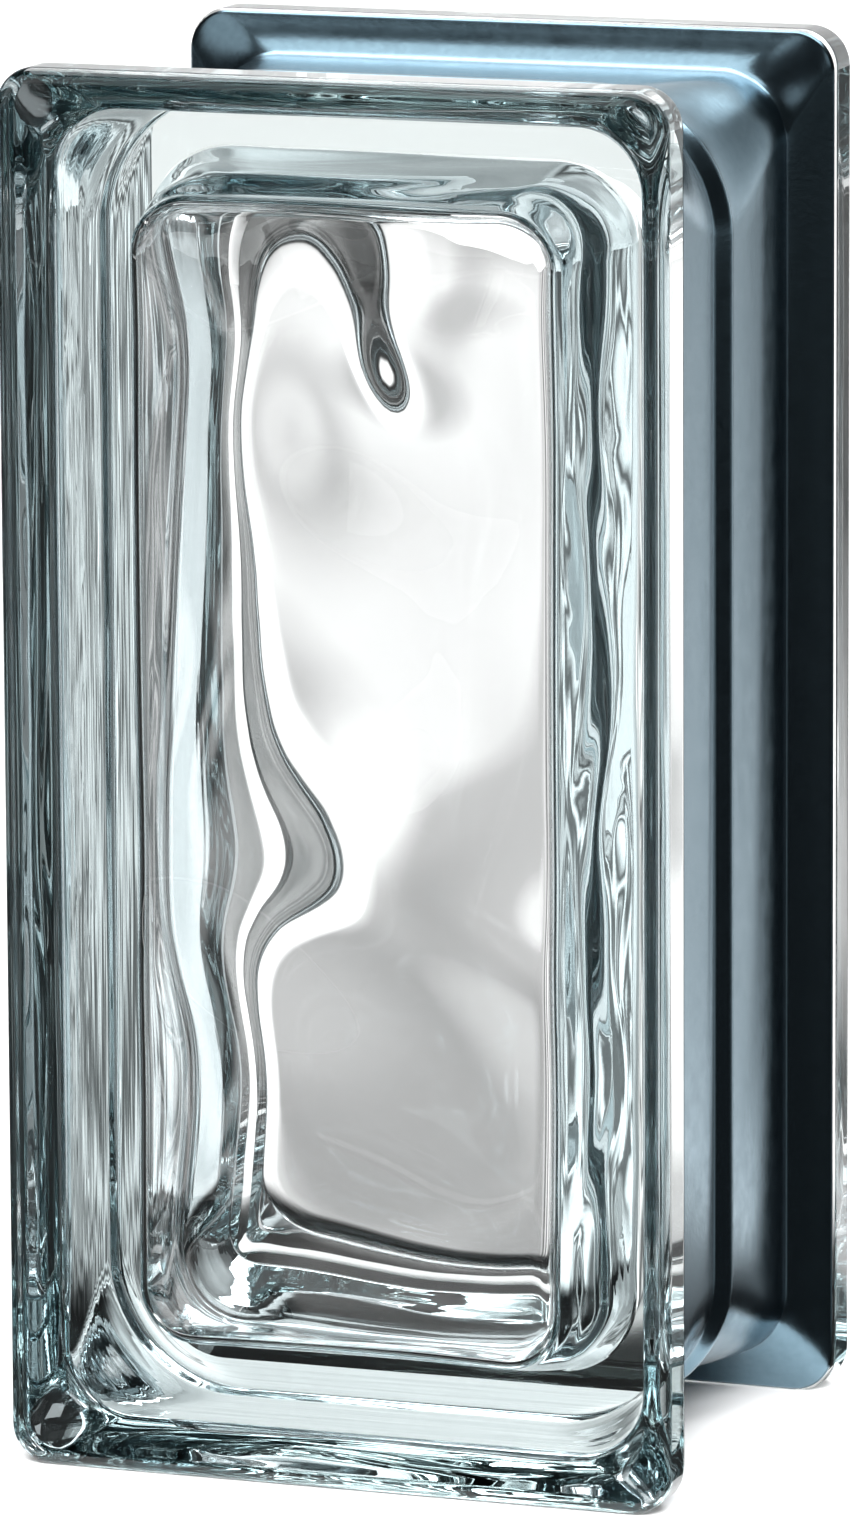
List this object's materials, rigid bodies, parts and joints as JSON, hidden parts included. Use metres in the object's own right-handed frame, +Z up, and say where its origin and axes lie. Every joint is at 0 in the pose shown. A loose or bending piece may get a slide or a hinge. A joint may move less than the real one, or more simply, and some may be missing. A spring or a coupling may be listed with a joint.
{
  "type": "hollow glass block",
  "caption": "Half-width hollow glass block with smooth outer faces, wavy inner faces and a coated mortar channel round its edge, laid edge to edge in walls and screens",
  "frame": {"origin": "centre of the bounding box at the base, on the floor the block stands on", "axes": "X across the face to the right, Y from the front face to the back face, Z up along the block's length"},
  "size_m": [0.094, 0.08, 0.19],
  "materials": {
    "glass": "clear, faintly green, polished",
    "coating": "satin blue-grey metallic film"
  },
  "bodies": {
    "root": {"glass_body": "glass", "edge_coating": "coating"}
  },
  "joints": []
}
